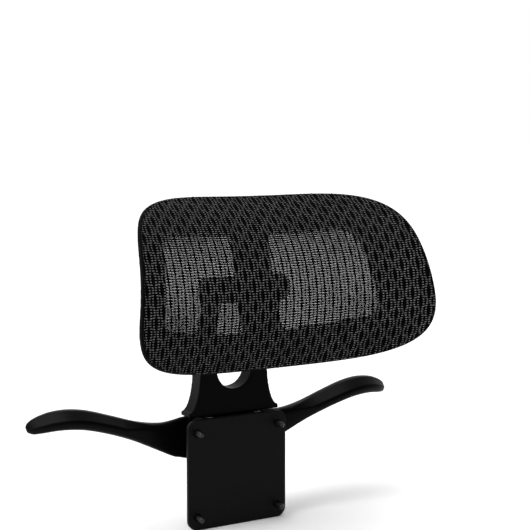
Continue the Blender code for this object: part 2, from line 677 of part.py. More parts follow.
def make_mount_bolts():
    for index, (x, z) in enumerate(bolt_places(), 1):
        seat = PLATE_THICKNESS + GAP
        washer = turned(f"bolt_washer_{index}", [
            (0.0062, 0.0012), (0.0062, 0.0), (0.0034, 0.0), (0.0034, 0.0012),
        ], (x, seat, z), "Y", 14)
        world_piece(washer, STEEL, 0.35, 1.0)
        bolt = screw_with_head(
            f"mount_bolt_{index}", 0.0055, 0.0030, 0.0180, 0.0045,
            (x, seat + 0.0012 + GAP, z), (0, 1, 0)
        )
        world_piece(bolt, STEEL, 0.35, 1.0)


def make_liners():
    """Low-friction channels that hold the stem's two edges."""
    for side, name in ((-1, "left"), (1, "right")):
        outline = [(0.0240, 0.0053), (0.0307, 0.0053), (0.0307, 0.0267), (0.0240, 0.0267),
                   (0.0240, 0.0224), (0.0284, 0.0224), (0.0284, 0.0096), (0.0240, 0.0096)]
        outline = [(side * x, y) for x, y in outline]
        liner = extruded(f"guide_liner_{name}", outline, -0.050, 0.054, "Z")
        world_piece(liner, ACETAL, 0.4)


def make_rear_cover():
    low, high = BRACKET_Z
    corners = [(-0.040, low + 0.003), (0.040, low + 0.003), (0.040, high), (-0.040, high)]
    cover = extruded("rear_cover", rounded_outline(corners, [0.005] * 4), *COVER_Y, "Y")
    for index, (x, z) in enumerate(rib_screw_places(), 1):
        cut(cover, cylinder(f"cover_hole_{index}", 0.0019, (x, COVER_Y[0], z), 0.02, "Y", 12))
    cut(cover, cylinder("spring_pilot", 0.0016, (0, COVER_Y[0], SPRING_SCREW_Z), 0.0050, "Y", 12))
    world_piece(cover, BLACK_NYLON, 0.5)
    for index, (x, z) in enumerate(rib_screw_places()[:4], 1):
        screw = screw_with_head(
            f"cover_screw_{index}", 0.0030, 0.00125, 0.0130, 0.0020, (x, COVER_Y[1] + GAP, z), (0, 1, 0)
        )
        world_piece(screw, STEEL, 0.35, 1.0)


def make_detent_spring():
    """A leaf spring held at its foot, whose bump presses into the rack's notches."""
    strip = 0.0005
    back_y = COVER_Y[0] - GAP - strip / 2
    path = []
    for step in range(19):
        z = -0.0320 + 0.0380 * step / 18
        bump = math.exp(-((z + 0.0050) / 0.0042) ** 2) * 0.0042
        path.append((back_y - bump, z))
    outline = [(y - strip / 2, z) for y, z in path] + [(y + strip / 2, z) for y, z in reversed(path)]
    spring = extruded("detent_spring", outline, -0.0070, 0.0070, "X")
    cut(spring, cylinder("spring_hole", 0.0018, (0, back_y, SPRING_SCREW_Z), 0.01, "Y", 12))
    world_piece(spring, STEEL, 0.3, 1.0)
    seat = back_y - strip / 2 - GAP
    screw = screw_with_head(
        "spring_screw", 0.0028, 0.00125, 0.0032, 0.0014, (0, seat, SPRING_SCREW_Z), (0, -1, 0)
    )
    world_piece(screw, STEEL, 0.35, 1.0)


def make_hanger():
    """A coat hanger lofted through its stations from tip to tip."""
    left = [(-x, y, z, depth, height) for x, y, z, depth, height in HANGER_STATIONS[:0:-1]]
    stations = left + HANGER_STATIONS
    around = 12
    bm = bmesh.new()
    rings = []
    for index, (x, y, z, depth, height) in enumerate(stations):
        before = Vector(stations[max(index - 1, 0)][:3])
        after = Vector(stations[min(index + 1, len(stations) - 1)][:3])
        along = (after - before).normalized()
        if abs(x) < 0.049:
            along = Vector((1, 0, 0))
        across = Vector((0, 1, 0))
        across = (across - along * along.dot(across)).normalized()
        upwards = along.cross(across).normalized()
        ring = []
        for corner in range(around):
            angle = 2 * math.pi * (corner + 0.5) / around
            c, s = math.cos(angle), math.sin(angle)
            u = math.copysign(abs(c) ** 0.62, c) * depth
            v = math.copysign(abs(s) ** 0.62, s) * height
            ring.append(bm.verts.new(Vector((x, y, z)) + across * u + upwards * v))
        rings.append(ring)
    for ring, following in zip(rings[:-1], rings[1:]):
        for corner in range(around):
            bm.faces.new((ring[corner], ring[(corner + 1) % around],
                          following[(corner + 1) % around], following[corner]))
    bm.faces.new(rings[0])
    bm.faces.new(rings[-1])
    bmesh.ops.recalc_face_normals(bm, faces=bm.faces)
    hanger = object_from_bmesh("coat_hanger", bm)
    for index, (x, z) in enumerate(rib_screw_places()[4:], 1):
        cut(hanger, cylinder(f"hanger_hole_{index}", 0.0019, (x, 0.035, z), 0.03, "Y", 12))
        cut(hanger, cylinder(f"hanger_sink_{index}", 0.0036, (x, 0.0395, z), 0.0060, "Y", 14))
    world_piece(hanger, BLACK_NYLON, 0.4)
    for index, (x, z) in enumerate(rib_screw_places()[4:], 1):
        screw = screw_with_head(
            f"hanger_screw_{index}", 0.0030, 0.00125, 0.0190, 0.0020, (x, 0.0368, z), (0, 1, 0)
        )
        world_piece(screw, STEEL, 0.35, 1.0)


make_mesh_cover()
make_mesh_hoop()
make_pad_frame()
make_hinge_block()
make_hoop_screws()
make_yoke()
make_rack()
make_pivot()
make_stop()
make_bracket()
make_mount_bolts()
make_liners()
make_rear_cover()
make_detent_spring()
make_hanger()
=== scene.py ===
"""Looks of the chair headrest attachment: knitted mesh on a curved frame, satin black
mouldings, steel screws, a pale floor and soft studio light. Units are metres; the frame of the
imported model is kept: +X to the viewer's right, +Y backwards, +Z up."""

import json
import math

import bmesh
import bpy
import numpy as np
from mathutils import Matrix, Vector

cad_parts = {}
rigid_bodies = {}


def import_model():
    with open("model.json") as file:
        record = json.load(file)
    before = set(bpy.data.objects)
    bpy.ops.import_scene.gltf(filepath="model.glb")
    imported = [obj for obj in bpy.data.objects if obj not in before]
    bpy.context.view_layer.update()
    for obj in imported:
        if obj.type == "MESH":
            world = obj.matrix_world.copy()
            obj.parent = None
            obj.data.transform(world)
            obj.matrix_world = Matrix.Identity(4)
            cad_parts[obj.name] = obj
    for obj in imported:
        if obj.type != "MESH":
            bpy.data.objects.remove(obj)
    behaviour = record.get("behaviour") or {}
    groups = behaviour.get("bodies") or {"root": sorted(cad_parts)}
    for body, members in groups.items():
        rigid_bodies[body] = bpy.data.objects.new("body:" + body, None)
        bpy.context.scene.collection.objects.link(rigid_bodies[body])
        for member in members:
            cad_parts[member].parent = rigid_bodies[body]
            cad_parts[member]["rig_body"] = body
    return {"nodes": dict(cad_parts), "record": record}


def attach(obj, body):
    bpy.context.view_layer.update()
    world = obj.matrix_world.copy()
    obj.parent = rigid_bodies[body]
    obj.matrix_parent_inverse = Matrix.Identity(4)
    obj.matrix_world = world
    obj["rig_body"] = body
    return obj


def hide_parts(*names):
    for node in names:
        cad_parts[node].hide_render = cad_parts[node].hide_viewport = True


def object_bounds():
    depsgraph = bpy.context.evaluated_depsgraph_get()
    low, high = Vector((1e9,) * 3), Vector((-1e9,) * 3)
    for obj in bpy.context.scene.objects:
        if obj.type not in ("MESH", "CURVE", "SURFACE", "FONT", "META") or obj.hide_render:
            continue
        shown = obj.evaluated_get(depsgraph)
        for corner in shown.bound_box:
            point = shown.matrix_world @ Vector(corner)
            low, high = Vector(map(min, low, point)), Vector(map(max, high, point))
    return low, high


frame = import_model()
cad_low, cad_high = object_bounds()
NODES = frame["nodes"]

# ---------------------------------------------------------------- the pad's curves
PIVOT = Vector((0.0, -0.013, 0.182))
PAD_LEAN = math.radians(15)
PAD_MIDDLE_Z = -0.0028
SPINE_FRONT_Y = -0.0223
PAD_TOP, PAD_BOTTOM = 0.0868, 0.0777
HALF_WIDTH_TOP, HALF_WIDTH_BOTTOM = 0.1394, 0.1611
WIDTH_STEP_HEIGHT = 0.080
CORNER_TOP, CORNER_BOTTOM = 4.36, 4.70
RIM_RADIUS = 0.387
RIM_BOW = 0.0273
RIM_SET = 0.0452
MESH_BULGE = 0.0104
HOOP_FRONT, HOOP_WIDTH, HOOP_DEPTH = 0.0018, 0.0095, 0.0035
HOOP_INSET = 0.0013
FRAME_FRONT = 0.0056
FRAME_INSET = 0.0030
SHELL = 0.0033
SPINE_HALF_WIDTH, SPINE_DEPTH, SPINE_PROUD = 0.0165, 0.0058, 0.0015
SPINE_Z = (-0.052, 0.056)
WINDOW = [(0.0205, 0.0516), (0.104, 0.0500), (0.116, -0.0369), (0.0215, -0.0419)]
WINDOW_RADII = [0.005, 0.022, 0.010, 0.005]

PAD = (
    Matrix.Translation(PIVOT) @ Matrix.Rotation(-PAD_LEAN, 4, "X")
    @ Matrix.Translation((0, 0, PAD_MIDDLE_Z))
)


def half_width(z):
    middle = (HALF_WIDTH_TOP + HALF_WIDTH_BOTTOM) / 2
    return middle - (HALF_WIDTH_BOTTOM - HALF_WIDTH_TOP) / 2 * z / WIDTH_STEP_HEIGHT


def corner(z):
    """The outline's power and its height above or below the middle."""
    return np.where(z > 0, CORNER_TOP, CORNER_BOTTOM), np.where(z > 0, PAD_TOP, PAD_BOTTOM)


def reach(x, z):
    """0 at the pad's middle, 1 on its outline."""
    power, height = corner(z)
    return ((np.abs(x) / half_width(z)) ** power + (np.abs(z) / height) ** power) ** (1 / power)


def rim_y(x, z):
    wrap = RIM_RADIUS - np.sqrt(RIM_RADIUS**2 - x**2)
    return SPINE_FRONT_Y - RIM_SET - wrap + RIM_BOW * (z / WIDTH_STEP_HEIGHT) ** 2


def rim_stretch(x, z):
    """How much longer a depth square to the rim's curve is when it is measured along y."""
    across = x / np.sqrt(RIM_RADIUS**2 - x**2)
    up = 2 * RIM_BOW * z / WIDTH_STEP_HEIGHT**2
    return np.sqrt(1 + across**2 + up**2)


def behind_rim(x, z, depth):
    return rim_y(x, z) + depth * rim_stretch(x, z)


def mesh_y(x, z):
    return rim_y(x, z) - MESH_BULGE * (1 - reach(x, z) ** 2)


def frame_y(x, z):
    dish = (RIM_SET - FRAME_FRONT) * (1 - np.minimum(reach(x, z), 1.0) ** 2)
    return behind_rim(x, z, FRAME_FRONT) + dish


def normals(depth, x, z):
    """Unit normals, facing the sitter, of the surface y = depth(x, z)."""
    e = 0.0002
    across = (depth(x + e, z) - depth(x - e, z)) / (2 * e)
    up = (depth(x, z + e) - depth(x, z - e)) / (2 * e)
    n = np.stack([across, -np.ones_like(across), up], axis=-1)
    return n / np.linalg.norm(n, axis=-1, keepdims=True)


def on_pad(points):
    """Moves points from the pad's own frame to the world."""
    turn = np.array(PAD.to_3x3())
    return points @ turn.T + np.array(PAD.translation)


WIDEST_Z = -0.030               # about where the outline is widest


def edge_z(x, end, share):
    """Height of the outline, scaled by share, at x, towards the end above or below."""
    near, far = np.full_like(x, WIDEST_Z), np.full_like(x, end)
    for _ in range(30):
        middle = (near + far) / 2
        inside = reach(x, middle) < share
        near, far = np.where(inside, middle, near), np.where(inside, far, middle)
    return near


def edge_x(z, share):
    power, height = corner(z)
    inside = np.clip(1 - (np.abs(z) / (height * share)) ** power, 0, 1)
    return half_width(z) * share * inside ** (1 / power)


# ---------------------------------------------------------------- materials
def new_material(name):
    made = bpy.data.materials.new(name)
    made.use_nodes = True
    tree = made.node_tree
    return made, tree, tree.nodes["Principled BSDF"]


def add(tree, kind, **values):
    node = tree.nodes.new(kind)
    for key, value in values.items():
        if key in node.inputs:
            node.inputs[key].default_value = value
        else:
            setattr(node, key, value)
    return node


def ramp(tree, source, low, high, dark, light):
    node = add(tree, "ShaderNodeValToRGB")
    first, last = node.color_ramp.elements
    first.position, last.position = low, high
    first.color, last.color = (*dark, 1), (*light, 1)
    tree.links.new(source, node.inputs["Fac"])
    return node.outputs["Color"]


def nylon(name, colour, roughness, grain, specular=0.3):
    """Moulded plastic: fine spark-eroded grain, slow changes in gloss, and a painted highlight that
    makes convex edges paler.
    """
    made, tree, shader = new_material(name)
    link = tree.links.new
    place = add(tree, "ShaderNodeTexCoord").outputs["Object"]
    fine = add(tree, "ShaderNodeTexNoise", Scale=1500.0, Detail=3.0, Roughness=0.6)
    slow = add(tree, "ShaderNodeTexNoise", Scale=28.0, Detail=4.0, Roughness=0.55)
    link(place, fine.inputs["Vector"])
    link(place, slow.inputs["Vector"])
    dull, bright = ([c * share for c in colour] for share in (0.85, 1.2))
    tint = ramp(tree, slow.outputs["Fac"], 0.3, 0.7, dull, bright)
    # painted highlight: convex edges, found by pointiness, get a base colour 1.9 times paler
    edge = add(tree, "ShaderNodeNewGeometry").outputs["Pointiness"]
    edge_highlight = ramp(tree, edge, 0.53, 0.62, (0, 0, 0), (1, 1, 1))
    mix = add(tree, "ShaderNodeMix", data_type="RGBA")
    link(edge_highlight, mix.inputs["Factor"])
    link(tint, mix.inputs["A"])
    mix.inputs["B"].default_value = (*[c * 1.9 for c in colour], 1)
    link(mix.outputs["Result"], shader.inputs["Base Color"])
    gloss = add(tree, "ShaderNodeMapRange")
    gloss.inputs["To Min"].default_value = roughness - 0.06
    gloss.inputs["To Max"].default_value = roughness + 0.08
    link(slow.outputs["Fac"], gloss.inputs["Value"])
    link(gloss.outputs["Result"], shader.inputs["Roughness"])
    bump = add(tree, "ShaderNodeBump", Strength=grain, Distance=0.0002)
    link(fine.outputs["Fac"], bump.inputs["Height"])
    link(bump.outputs["Normal"], shader.inputs["Normal"])
    shader.inputs["Specular IOR Level"].default_value = specular
    return made


def yarn(name, dark, light, twist):
    """Twisted polyester yarn with a soft sheen."""
    made, tree, shader = new_material(name)
    link = tree.links.new
    place = add(tree, "ShaderNodeTexCoord").outputs["Object"]
    ply = add(tree, "ShaderNodeTexWave", Scale=twist, Distortion=1.5, Detail=1.0)
    ply.bands_direction = "DIAGONAL"
    link(place, ply.inputs["Vector"])
    patches = add(tree, "ShaderNodeTexNoise", Scale=55.0, Detail=5.0, Roughness=0.7)
    link(place, patches.inputs["Vector"])
    blend = add(tree, "ShaderNodeMath", operation="MULTIPLY")
    link(ply.outputs["Fac"], blend.inputs[0])
    link(patches.outputs["Fac"], blend.inputs[1])
    tint = ramp(tree, blend.outputs["Value"], 0.1, 0.5, dark, light)
    link(tint, shader.inputs["Base Color"])
    bump = add(tree, "ShaderNodeBump", Strength=0.5, Distance=0.0002)
    link(ply.outputs["Fac"], bump.inputs["Height"])
    link(bump.outputs["Normal"], shader.inputs["Normal"])
    shader.inputs["Roughness"].default_value = 0.75
    shader.inputs["Specular IOR Level"].default_value = 0.03
    return made


def steel(name, colour, roughness):
    """Zinc-plated steel with fine turning marks."""
    made, tree, shader = new_material(name)
    link = tree.links.new
    place = add(tree, "ShaderNodeTexCoord").outputs["Object"]
    marks = add(tree, "ShaderNodeTexNoise", Scale=900.0, Detail=4.0, Roughness=0.7)
    patches = add(tree, "ShaderNodeTexNoise", Scale=120.0, Detail=3.0)
    link(place, marks.inputs["Vector"])
    link(place, patches.inputs["Vector"])
    tint = ramp(tree, patches.outputs["Fac"], 0.3, 0.7, [c * 0.75 for c in colour], colour)
    link(tint, shader.inputs["Base Color"])
    gloss = add(tree, "ShaderNodeMapRange")
    gloss.inputs["To Min"].default_value = roughness - 0.08
    gloss.inputs["To Max"].default_value = roughness + 0.12
    link(marks.outputs["Fac"], gloss.inputs["Value"])
    link(gloss.outputs["Result"], shader.inputs["Roughness"])
    bump = add(tree, "ShaderNodeBump", Strength=0.15, Distance=0.0001)
    link(marks.outputs["Fac"], bump.inputs["Height"])
    link(bump.outputs["Normal"], shader.inputs["Normal"])
    shader.inputs["Metallic"].default_value = 1.0
    return made


GREY_YARN = yarn("grey_yarn", (0.065, 0.065, 0.0663), (0.24, 0.24, 0.244), 420.0)
BLACK_YARN = yarn("black_yarn", (0.0008, 0.0008, 0.0008), (0.0028, 0.0028, 0.0028), 500.0)
FRAME_NYLON = nylon("frame_nylon", (0.0012, 0.0012, 0.0013), 0.46, 0.25, 0.03)
ARM_NYLON = nylon("arm_nylon", (0.0012, 0.0012, 0.0013), 0.38, 0.22, 0.035)
HANGER_NYLON = nylon("hanger_nylon", (0.0012, 0.0012, 0.0013), 0.36, 0.20, 0.05)
INNER_NYLON = nylon("inner_nylon", (0.003, 0.003, 0.0033), 0.50, 0.30, 0.08)
ACETAL = nylon("acetal", (0.55, 0.53, 0.48), 0.38, 0.10, 0.5)
ZINC = steel("zinc_steel", (0.50, 0.50, 0.51), 0.32)
SPRING_STEEL = steel("spring_steel", (0.38, 0.38, 0.40), 0.26)
BLACK_STEEL = steel("black_steel", (0.045, 0.045, 0.048), 0.40)

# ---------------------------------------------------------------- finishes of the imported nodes
FINISH = {
    "mesh_fabric": BLACK_YARN, "frame_nylon": FRAME_NYLON, "arm_nylon": ARM_NYLON,
    "hanger_nylon": HANGER_NYLON, "inner_nylon": INNER_NYLON, "acetal": ACETAL,
    "zinc_steel": ZINC, "spring_steel": SPRING_STEEL, "black_steel": BLACK_STEEL,
}
SLOT_OF = {part["node"]: part["material_slot"] for part in frame["record"]["subparts"]}
for name, node in NODES.items():
    node.data.materials.clear()
    node.data.materials.append(FINISH[SLOT_OF[name]])


# ---------------------------------------------------------------- mesh makers
def new_object(name, points, faces, material, smooth=True):
    mesh = bpy.data.meshes.new(name)
    mesh.from_pydata(np.asarray(points).tolist(), [], [list(f) for f in faces])
    mesh.validate()
    mesh.shade_smooth() if smooth else mesh.shade_flat()
    made = bpy.data.objects.new(name, mesh)
    bpy.context.scene.collection.objects.link(made)
    mesh.materials.append(material)
    return made


def strands(centres, sideways, outwards, half_across, half_deep, sides):
    """Tubes of one point count. Arrays are (strand, point, xyz); sizes are (strand, point)."""
    count, length = centres.shape[:2]
    rings = []
    for index in range(sides):
        angle = 2 * math.pi * index / sides
        rings.append(
            centres + sideways * (half_across * math.cos(angle))[..., None]
            + outwards * (half_deep * math.sin(angle))[..., None]
        )
    points = np.stack(rings, axis=2).reshape(-1, 3)
    strand, step, side = np.meshgrid(
        np.arange(count), np.arange(length - 1), np.arange(sides), indexing="ij"
    )
    here = (strand * length + step) * sides + side
    beside = (strand * length + step) * sides + (side + 1) % sides
    faces = np.stack([here, beside, beside + sides, here + sides], axis=-1).reshape(-1, 4).tolist()
    for s in range(count):
        first = s * length * sides
        last = first + (length - 1) * sides
        faces.append(list(range(first + sides - 1, first - 1, -1)))
        faces.append(list(range(last, last + sides)))
    return points, faces


def joined(*parts):
    points, faces, start = [], [], 0
    for some, more in parts:
        points.append(some)
        faces += [[i + start for i in face] for face in more]
        start += len(some)
    return np.concatenate(points), faces


# ---------------------------------------------------------------- the knitted mesh
LINE_PITCH = 0.00828            # between the black warp cords
ROW_PITCH = 0.00238             # between the ladder's rungs
ROWS_PER_STEP = 4               # the black ovals are staggered by this many rows
WAVE = 0.00035                  # how far the rows bend round the ovals
OVAL_HALF = 0.00205             # half width of the ovals that the grey beads leave free
SLIT_HALF = 0.00050             # half gap between the beads where they close over a cord
GROUND_SHARE = 0.463            # half heights, as shares of the row pitch
BEAD_SHARE = 0.26
BEAD_LENGTH = 0.0021
CORD_HALF, MID_CORD_HALF = 0.00080, 0.00030
COVER_SHARE = 0.996             # the knit's edge lies under the hem
CORD_COVER = 0.99               # cords this near the widest edge are left out
YARN_SIDES = 4
RUNG_LIFT, RUNG_DEPTH, RUNG_POINTS = -0.0004, 0.00028, 150
CORD_DEPTH, CORD_POINTS, MID_CORD_LIFT = 0.00035, 60, 0.0005
BEAD_LIFT, BEAD_RISE, BEAD_DEPTH, BEAD_TAPER = 0.00035, 0.00040, 0.00040, 0.35
BEAD_POINTS, SHORTEST_BEAD = 4, 0.0006
SHORTEST_BEAD_ROW, SHORTEST_ROW = 0.01, 0.02      # half lengths

profile = np.linspace(-0.2, 0.2, 2001)
near = np.clip(profile, -0.17, 0.17)
steps_x = np.hypot(np.diff(near), np.diff(mesh_y(near, np.zeros_like(near))))
along_x = np.concatenate([[0], np.cumsum(steps_x)])
along_x -= np.interp(0, profile, along_x)
tall = np.linspace(-0.09, 0.09, 2001)
steps_z = np.hypot(np.diff(tall), np.diff(mesh_y(np.zeros_like(tall), tall)))
along_z = np.concatenate([[0], np.cumsum(steps_z)])
along_z -= np.interp(0, tall, along_z)


def fabric_point(s, t, lift):
    """World points and local axes of the knit at s across and t up its surface."""
    x = np.interp(s, along_x, profile)
    z = np.interp(t, along_z, tall)
    front = normals(mesh_y, x, z)
    sideways = np.stack([-front[..., 1], front[..., 0], np.zeros_like(x)], axis=-1)
    sideways /= np.linalg.norm(sideways, axis=-1, keepdims=True)
    upwards = np.cross(front, sideways)
    points = np.stack([x, mesh_y(x, z), z], axis=-1) + front * lift[..., None]
    turn = np.array(PAD.to_3x3())
    return on_pad(points), sideways @ turn.T, upwards @ turn.T, front @ turn.T


def wave(s, t):
    """The rows part round the ovals and close up between them."""
    step = ROWS_PER_STEP * ROW_PITCH
    return WAVE * np.cos(np.pi * s / LINE_PITCH) * np.cos(np.pi * t / step)


def local_pitch(s, t):
    step = ROWS_PER_STEP * ROW_PITCH
    slope = -WAVE * np.pi / step * np.cos(np.pi * s / LINE_PITCH) * np.sin(np.pi * t / step)
    return ROW_PITCH * (1 + slope)


def oval_share(line, row):
    """1 at the middle of an oval on this warp cord, 0 where the beads close over it."""
    middle = np.where(line % 2 == 0, -ROWS_PER_STEP / 2, ROWS_PER_STEP / 2)
    away = (row - middle + ROWS_PER_STEP) % (2 * ROWS_PER_STEP) - ROWS_PER_STEP
    return 0.5 + 0.5 * np.cos(np.pi * away / ROWS_PER_STEP)


TOP_ROW = int(along_z[-1] / ROW_PITCH)
LAST_LINE = int(along_x[-1] / LINE_PITCH)
ROWS = np.arange(-TOP_ROW, TOP_ROW + 1)
ROW_EDGE = np.interp(
    edge_x(np.interp(ROWS * ROW_PITCH, along_z, tall), COVER_SHARE), profile, along_x
)


def ground_rows(rows, count):
    """Black rungs right across the pad, with a slit of daylight between each two."""
    s = ROW_EDGE[rows + TOP_ROW][:, None] * np.linspace(-1, 1, count)[None, :]
    flat_t = rows[:, None] * ROW_PITCH + 0 * s
    centres, side, up, out = fabric_point(s, flat_t + wave(s, flat_t), np.full_like(s, RUNG_LIFT))
    half = GROUND_SHARE * local_pitch(s, flat_t)
    return strands(centres, up, out, half, np.full_like(s, RUNG_DEPTH), YARN_SIDES)


def cords(shift, half, lift, count):
    """Black warp cords from the pad's foot to its top."""
    across = (np.arange(-LAST_LINE, LAST_LINE + 1) + shift) * LINE_PITCH
    x = np.interp(across, along_x, profile)
    inside = reach(x, np.full_like(x, WIDEST_Z)) < COVER_SHARE * CORD_COVER
    across, x = across[inside], x[inside]
    low_t, high_t = (
        np.interp(edge_z(x, end, COVER_SHARE), tall, along_z) for end in (-PAD_BOTTOM, PAD_TOP)
    )
    t = low_t[:, None] + (high_t - low_t)[:, None] * np.linspace(0, 1, count)[None, :]
    s = across[:, None] + 0 * t
    centres, side, up, out = fabric_point(s, t, np.full_like(s, lift))
    half_across, half_deep = np.full_like(s, half), np.full_like(s, CORD_DEPTH)
    return strands(centres, side, out, half_across, half_deep, YARN_SIDES)


def beads():
    """Grey stitches that hug the ovals: two on each rung of a rib, or one that joins them."""
    lines = np.arange(-LAST_LINE, LAST_LINE)
    row, line = [a.ravel() for a in np.meshgrid(ROWS, lines, indexing="ij")]
    limit = ROW_EDGE[row + TOP_ROW]
    left_clear, right_clear = (
        SLIT_HALF + (OVAL_HALF - SLIT_HALF) * oval_share(which, row) for which in (line, line + 1)
    )
    joining = row % ROWS_PER_STEP == 0
    middle = (line + 0.5) * LINE_PITCH
    left, right = line * LINE_PITCH + left_clear, (line + 1) * LINE_PITCH - right_clear
    second = np.maximum(right - BEAD_LENGTH, middle + MID_CORD_HALF)
    first = np.minimum(left + BEAD_LENGTH, middle - MID_CORD_HALF)
    starts = [left, np.where(joining, middle, second)]
    ends = [np.where(joining, middle, first), right]
    made = []
    for start, end in zip(starts, ends):
        start, end = np.maximum(start, -limit), np.minimum(end, limit)
        kept = (end - start > SHORTEST_BEAD) & (limit > SHORTEST_BEAD_ROW)
        q = np.linspace(0, 1, BEAD_POINTS)[None, :]
        s = start[kept][:, None] + (end - start)[kept][:, None] * q
        flat_t = row[kept][:, None] * ROW_PITCH + 0 * s
        lift = BEAD_LIFT + BEAD_RISE * np.sin(math.pi * q) + 0 * s
        centres, side, up, out = fabric_point(s, flat_t + wave(s, flat_t), lift)
        taper = 1 - BEAD_TAPER * np.abs(2 * q - 1)
        half_across = BEAD_SHARE * local_pitch(s, flat_t) * taper
        half_deep = BEAD_DEPTH * taper + 0 * s
        made.append(strands(centres, up, out, half_across, half_deep, YARN_SIDES))
    return made


whole = ROWS[ROW_EDGE > SHORTEST_ROW]
knit = new_object(
    "mesh_ground",
    *joined(
        ground_rows(whole, RUNG_POINTS), cords(0.0, CORD_HALF, 0.0, CORD_POINTS),
        cords(0.5, MID_CORD_HALF, MID_CORD_LIFT, CORD_POINTS),
    ),
    BLACK_YARN,
)
stitches = new_object("mesh_stitches", *joined(*beads()), GREY_YARN)


# ---------------------------------------------------------------- hem round the pad's edge
def outline_loop(count, share=1.0):
    """The pad's outline as x and z, evenly spaced along its length, anticlockwise."""
    angle = np.linspace(0, 2 * math.pi, 4001)
    within, beyond = np.zeros_like(angle), np.full_like(angle, 0.4)
    for _ in range(40):
        middle = (within + beyond) / 2
        inside = reach(middle * np.cos(angle), middle * np.sin(angle)) < share
        within, beyond = np.where(inside, middle, within), np.where(inside, beyond, middle)
    x, z = within * np.cos(angle), within * np.sin(angle)
    length = np.concatenate([[0], np.cumsum(np.hypot(np.diff(x), np.diff(z)))])
    even = np.linspace(0, length[-1], count, endpoint=False)
    return np.interp(even, length, x), np.interp(even, length, z)


def outward(x, z):
    dx, dz = np.roll(x, -1) - np.roll(x, 1), np.roll(z, -1) - np.roll(z, 1)
    length = np.hypot(dx, dz)
    return dz / length, -dx / length


KNIT_LEVEL = -0.01              # a depth below this stands for the knit's own front
HEM_PROUD = 0.0008              # the hem's inner edge stands this far in front of the knit


def edge_band(name, count, section, material, ridge=None):
    """A closed band round the pad. The section is (outward, depth, share of the ridge)."""
    x, z = outline_loop(count)
    ox, oz = outward(x, z)
    ridge = np.zeros_like(x) if ridge is None else ridge
    rings = []
    for out, depth, share in section:
        off = out + ridge * share
        at_x, at_z = x + ox * off, z + oz * off
        if depth > KNIT_LEVEL:
            surface = behind_rim(at_x, at_z, depth)
        else:
            surface = mesh_y(at_x, at_z) - HEM_PROUD
        rings.append(np.stack([at_x, surface, at_z], axis=-1))
    sides = len(rings)
    points = on_pad(np.stack(rings, axis=1).reshape(-1, 3))
    faces = []
    for i in range(count):
        j = (i + 1) % count
        for k in range(sides):
            m = (k + 1) % sides
            faces.append((i * sides + k, i * sides + m, j * sides + m, j * sides + k))
    return new_object(name, points, faces, material)


STITCHES, POINTS_PER_STITCH = 372, 3
STITCH_RIDGE = 0.00018
hem_points = np.arange(STITCHES * POINTS_PER_STITCH)
stitch_ridge = np.abs(np.sin(math.pi * hem_points / POINTS_PER_STITCH))
hem = edge_band("mesh_hem", STITCHES * POINTS_PER_STITCH, [
    (-0.0022, 0.0006, 0), (-0.0022, -1.0, 0), (-0.0010, -0.0010, 0.6), (-0.0002, -0.0006, 1),
    (0.0003, 0.0002, 1), (0.0004, 0.0014, 1), (0.0004, 0.0030, 1), (0.0003, 0.0042, 1),
    (-0.0001, 0.0048, 0.6), (-0.0006, 0.0047, 0), (-0.0008, 0.0026, 0), (-0.0010, 0.0012, 0),
], BLACK_YARN, stitch_ridge * STITCH_RIDGE)

for piece in (knit, stitches, hem):
    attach(piece, "pad")
    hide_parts("mesh_cover")

# ---------------------------------------------------------------- hoop and frame
hoop_out, hoop_in = -HOOP_INSET, -HOOP_INSET - HOOP_WIDTH
hoop_back = HOOP_FRONT + HOOP_DEPTH
ROUND = 0.0009                  # of the hoop's edges
HOOP_POINTS = 480
hoop = edge_band("hoop_band", HOOP_POINTS, [
    (hoop_in, HOOP_FRONT + ROUND, 0), (hoop_in + ROUND * 0.3, HOOP_FRONT + ROUND * 0.3, 0),
    (hoop_in + ROUND, HOOP_FRONT, 0), (hoop_out - ROUND, HOOP_FRONT, 0),
    (hoop_out - ROUND * 0.3, HOOP_FRONT + ROUND * 0.3, 0), (hoop_out, HOOP_FRONT + ROUND, 0),
    (hoop_out, hoop_back - ROUND, 0), (hoop_out - ROUND * 0.3, hoop_back - ROUND * 0.3, 0),
    (hoop_out - ROUND, hoop_back, 0), (hoop_in + ROUND, hoop_back, 0),
    (hoop_in + ROUND * 0.3, hoop_back - ROUND * 0.3, 0), (hoop_in, hoop_back - ROUND, 0),
], FRAME_NYLON)


def baked(made):
    """Applies the object's modifiers."""
    bpy.context.view_layer.update()
    depsgraph = bpy.context.evaluated_depsgraph_get()
    mesh = bpy.data.meshes.new_from_object(made.evaluated_get(depsgraph))
    made.modifiers.clear()
    made.data = mesh
    return made


def combined(made, *steps):
    """Booleans, each an operation and a tool that is removed afterwards."""
    for operation, tool in steps:
        step = made.modifiers.new(operation.lower(), "BOOLEAN")
        step.operation = operation
        step.object = tool
    baked(made)
    for _, tool in steps:
        bpy.data.objects.remove(tool, do_unlink=True)
    return made


def softened(made, voxel, rounds):
    """Rounds the edges of a moulding: a fine voxel remesh, then a few rounds of smoothing."""
    remesh = made.modifiers.new("voxels", "REMESH")
    remesh.mode = "VOXEL"
    remesh.voxel_size = voxel
    smooth = made.modifiers.new("smooth", "SMOOTH")
    smooth.factor = 0.5
    smooth.iterations = rounds
    baked(made)
    made.data.shade_smooth()
    return made


def face_outwards(made):
    bm = bmesh.new()
    bm.from_mesh(made.data)
    bmesh.ops.recalc_face_normals(bm, faces=bm.faces)
    bm.to_mesh(made.data)
    bm.free()


